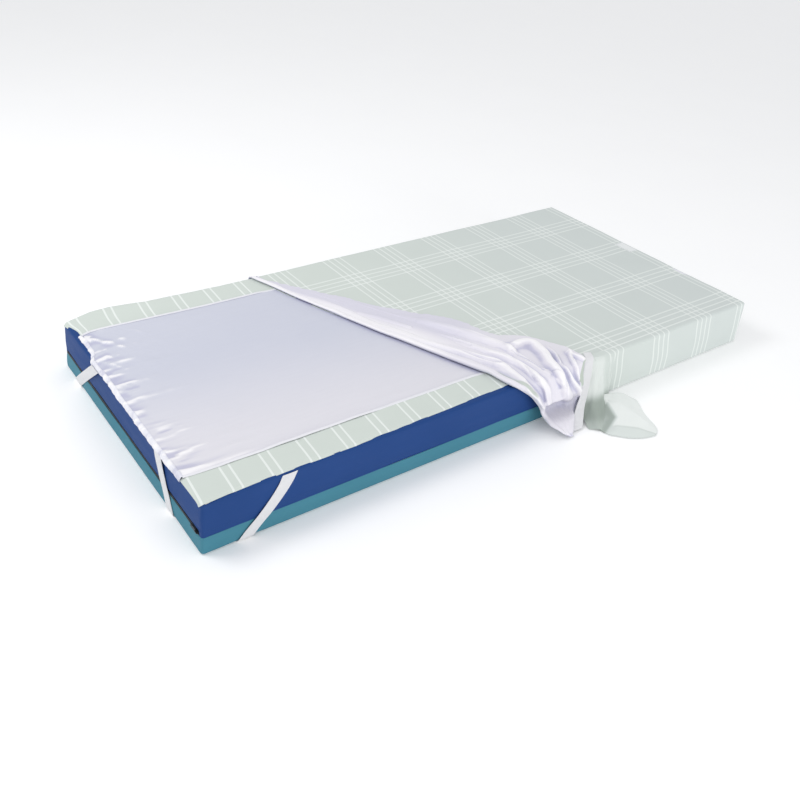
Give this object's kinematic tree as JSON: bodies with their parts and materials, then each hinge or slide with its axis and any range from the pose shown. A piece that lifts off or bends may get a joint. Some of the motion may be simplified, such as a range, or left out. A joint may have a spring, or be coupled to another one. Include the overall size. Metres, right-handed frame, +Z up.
{
  "type": "pressure relief mattress",
  "caption": "Foam care mattress in a zipped cover, dressed with a strapped glide sheet and a fitted sheet whose corner is folded back and hangs over the side; it bends with a profiling bed.",
  "frame": {"origin": "centre of the mattress underside", "axes": "+X towards the head end, +Y towards the side away from the hanging corner, +Z up out of the lying surface"},
  "size_m": [2.017, 1.138, 0.172],
  "materials": {
    "cover_blue": "matte",
    "cover_teal": "matte",
    "foam_base": "matte",
    "foam_comfort": "matte",
    "zip_tape": "matte",
    "zip_coil": "satin",
    "zip_metal": "satin",
    "satin": "satin",
    "piping": "matte",
    "band_check": "matte",
    "elastic": "matte",
    "sheet_check": "matte",
    "sheet_satin": "satin",
    "label": "matte"
  },
  "bodies": {
    "seat": {"corner_pocket": "sheet_check", "corner_tail": "sheet_check", "fitted_sheet_seat": "sheet_check", "foam_base_seat": "foam_base", "foam_comfort_layer_seat": "foam_comfort", "gathered_lining": "sheet_satin", "glide_panel_seat": "satin", "glide_seam_tapes_seat": "piping", "glide_side_bands_seat": "band_check", "lower_cover_seat": "cover_teal", "pocket_elastic": "elastic", "sheet_elastic_seat": "elastic", "turned_back_flap_seat": "sheet_satin", "upper_cover_seat": "cover_blue"},
    "back": {"care_label": "label", "corner_strap_head_front": "elastic", "corner_strap_head_rear": "elastic", "fitted_sheet_back": "sheet_check", "foam_base_back": "foam_base", "foam_comfort_layer_back": "foam_comfort", "glide_head_hem": "piping", "glide_panel_back": "satin", "glide_seam_tapes_back": "piping", "glide_side_bands_back": "band_check", "lower_cover_back": "cover_teal", "sheet_elastic_back": "elastic", "upper_cover_back": "cover_blue"},
    "thigh": {"fitted_sheet_thigh": "sheet_check", "foam_base_thigh": "foam_base", "foam_comfort_layer_thigh": "foam_comfort", "glide_panel_thigh": "satin", "glide_seam_tapes_thigh": "piping", "glide_side_bands_thigh": "band_check", "lower_cover_thigh": "cover_teal", "sheet_elastic_thigh": "elastic", "turned_back_flap_thigh": "sheet_satin", "upper_cover_thigh": "cover_blue"},
    "calf": {"corner_strap_foot_front": "elastic", "corner_strap_foot_rear": "elastic", "foam_base_calf": "foam_base", "foam_comfort_layer_calf": "foam_comfort", "glide_foot_hem": "piping", "glide_panel_calf": "satin", "glide_seam_tapes_calf": "piping", "glide_side_bands_calf": "band_check", "lower_cover_calf": "cover_teal", "upper_cover_calf": "cover_blue", "zip_coil_lower": "zip_coil", "zip_coil_upper": "zip_coil", "zip_end_stops": "zip_coil", "zip_tape_lower": "zip_tape", "zip_tape_upper": "zip_tape"},
    "zip_slider": {"zip_slider": "zip_metal"},
    "zip_pull": {"zip_pull": "zip_metal"}
  },
  "joints": [
    {"name": "back_raise", "type": "hinge", "parent": "seat", "child": "back", "pos_m": [0.27, 0, 0.1485], "axis": [0, -1, 0], "range_deg": [0, 70]},
    {"name": "thigh_raise", "type": "hinge", "parent": "seat", "child": "thigh", "pos_m": [-0.08, 0, 0.1645], "axis": [0, 1, 0], "range_deg": [0, 30]},
    {"name": "calf_drop", "type": "hinge", "parent": "thigh", "child": "calf", "pos_m": [-0.44, 0, 0], "axis": [0, -1, 0], "range_deg": [0, 45]},
    {"name": "zip_slide", "type": "slide", "parent": "calf", "child": "zip_slider", "axis": [0, 1, 0], "range_m": [0, 0.84]},
    {"name": "pull_flip", "type": "hinge", "parent": "zip_slider", "child": "zip_pull", "pos_m": [-1.0036, -0.429, 0.055], "axis": [0, 0, 1], "range_deg": [0, 175]}
  ],
  "couplings": [
    {"joint": "calf_drop", "follows": "thigh_raise", "ratio": 1.5}
  ]
}
